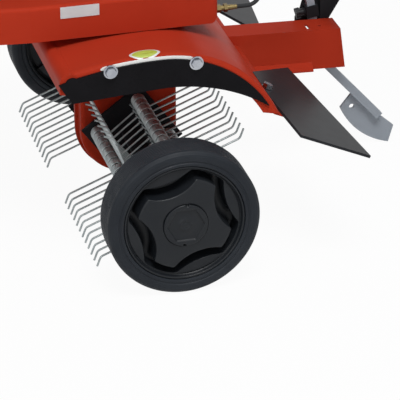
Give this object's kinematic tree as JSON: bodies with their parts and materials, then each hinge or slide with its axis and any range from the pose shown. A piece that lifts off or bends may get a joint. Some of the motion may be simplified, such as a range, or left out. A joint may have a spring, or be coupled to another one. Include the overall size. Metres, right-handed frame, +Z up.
{
  "type": "walk-behind tiller",
  "caption": "Walk-behind tiller with a spring-tine reel between two transport wheels, a curved hood, belt and worm drive, drag stake, upright-shaft engine and twin handlebars.",
  "frame": {"origin": "on the ground straight below the middle of the reel axle", "axes": "+X forward, +Y to the machine's left along the reel axle, +Z up"},
  "size_m": [1.195, 0.7214, 0.917],
  "materials": {
    "tyre": "matte treaded rubber",
    "black_plastic": "satin moulded plastic",
    "gloss_black": "glossy sheet",
    "black_paint": "gloss black paint",
    "orange_paint": "gloss orange-red paint",
    "grey_paint": "grey paint",
    "zinc_steel": "zinc-plated steel",
    "dark_steel": "oiled steel",
    "bronze": "cast bronze",
    "brass": "brass",
    "rubber": "moulded rubber",
    "cast_aluminium": "cast aluminium",
    "cast_iron": "machined cast iron"
  },
  "bodies": {
    "chassis": {"air_filter": "black_plastic", "axle_seals": "rubber", "blower_housing": "black_plastic", "cable_adjuster": "brass", "carburettor": "cast_aluminium", "chassis_fasteners": "zinc_steel", "control_cables": "rubber", "cylinder_head": "cast_aluminium", "deck_floor": "orange_paint", "deck_shell": "orange_paint", "drive_bearings": "zinc_steel", "drive_belt": "rubber", "engine_block": "cast_aluminium", "engine_trim": "black_plastic", "fuel_tank": "black_plastic", "gear_case_cap": "orange_paint", "gear_case_left": "orange_paint", "gear_case_right": "orange_paint", "handlebar_brace": "black_paint", "handlebar_bracket": "black_paint", "handlebar_grips": "rubber", "handlebar_left": "black_paint", "handlebar_right": "black_paint", "hood": "orange_paint", "lever_mounts": "black_plastic", "muffler": "dark_steel", "rear_beam": "orange_paint", "rear_flap_left": "gloss_black", "rear_flap_right": "gloss_black", "recoil_cover": "black_plastic", "skirt_left": "gloss_black", "skirt_right": "gloss_black", "spark_plug": "rubber"},
    "reel": {"reel_axle": "zinc_steel", "reel_frame_left": "black_paint", "reel_frame_right": "black_paint", "spring_rods": "zinc_steel", "axle_collars": "zinc_steel", "tine_springs_left": "zinc_steel", "tine_springs_right": "zinc_steel", "worm_wheel": "bronze"},
    "left_wheel": {"tyre_left": "tyre", "rim_left": "black_plastic", "hub_cap_left": "black_plastic"},
    "right_wheel": {"tyre_right": "tyre", "rim_right": "black_plastic", "hub_cap_right": "black_plastic"},
    "worm": {"worm_shaft": "dark_steel", "driven_pulley": "cast_iron"},
    "crank": {"crankshaft": "dark_steel", "engine_pulley": "cast_iron", "flywheel_fan": "cast_aluminium"},
    "tensioner": {"tension_arm": "zinc_steel"},
    "idler": {"idler_pulley": "zinc_steel"},
    "clutch_lever": {"clutch_lever": "black_paint"},
    "throttle_lever": {"throttle_lever": "black_plastic"},
    "stake": {"drag_stake": "grey_paint"},
    "stake_knob": {"stake_knob": "black_plastic"},
    "fuel_cap": {"fuel_cap": "black_plastic"}
  },
  "joints": [
    {"name": "reel_turn", "type": "hinge", "parent": "chassis", "child": "reel", "pos_m": [0, 0, 0.11], "axis": [0, 1, 0], "continuous": true},
    {"name": "left_wheel_turn", "type": "hinge", "parent": "reel", "child": "left_wheel", "pos_m": [0, 0.326, 0.11], "axis": [0, 1, 0], "continuous": true},
    {"name": "right_wheel_turn", "type": "hinge", "parent": "reel", "child": "right_wheel", "pos_m": [0, -0.326, 0.11], "axis": [0, 1, 0], "continuous": true},
    {"name": "worm_turn", "type": "hinge", "parent": "chassis", "child": "worm", "pos_m": [-0.0483, 0, 0.11], "axis": [0, 0, 1], "continuous": true},
    {"name": "crank_turn", "type": "hinge", "parent": "chassis", "child": "crank", "pos_m": [0.11, 0, 0.4], "axis": [0, 0, 1], "continuous": true},
    {"name": "tensioner_swing", "type": "hinge", "parent": "chassis", "child": "tensioner", "pos_m": [-0.01, 0.09475, 0.3422], "axis": [0, 0, 1], "range_deg": [-6.78, 0]},
    {"name": "idler_turn", "type": "hinge", "parent": "tensioner", "child": "idler", "pos_m": [0.04, 0.04975, 0.3422], "axis": [0, 0, 1], "continuous": true},
    {"name": "clutch_squeeze", "type": "hinge", "parent": "chassis", "child": "clutch_lever", "pos_m": [-0.77428, 0.24, 0.83495], "axis": [0, 1, 0], "range_deg": [0, 20]},
    {"name": "throttle_swing", "type": "hinge", "parent": "chassis", "child": "throttle_lever", "pos_m": [-0.76338, -0.24, 0.88221], "axis": [0.2248, 0, 0.9744], "range_deg": [-30, 30]},
    {"name": "stake_slide", "type": "slide", "parent": "chassis", "child": "stake", "axis": [0.1564, 0, 0.9877], "range_m": [0, 0.05]},
    {"name": "knob_turn", "type": "hinge", "parent": "chassis", "child": "stake_knob", "pos_m": [-0.28483, -0.036, 0.23765], "axis": [0.9877, 0, -0.1564], "continuous": true},
    {"name": "fuel_cap_twist", "type": "hinge", "parent": "chassis", "child": "fuel_cap", "pos_m": [-0.041, 0.05, 0.4964], "axis": [0, 0, 1], "range_deg": [0, 90]}
  ],
  "couplings": [
    {"joint": "worm_turn", "follows": "reel_turn", "ratio": 24},
    {"joint": "crank_turn", "follows": "reel_turn", "ratio": 36},
    {"joint": "tensioner_swing", "follows": "clutch_squeeze", "ratio": -0.339}
  ]
}
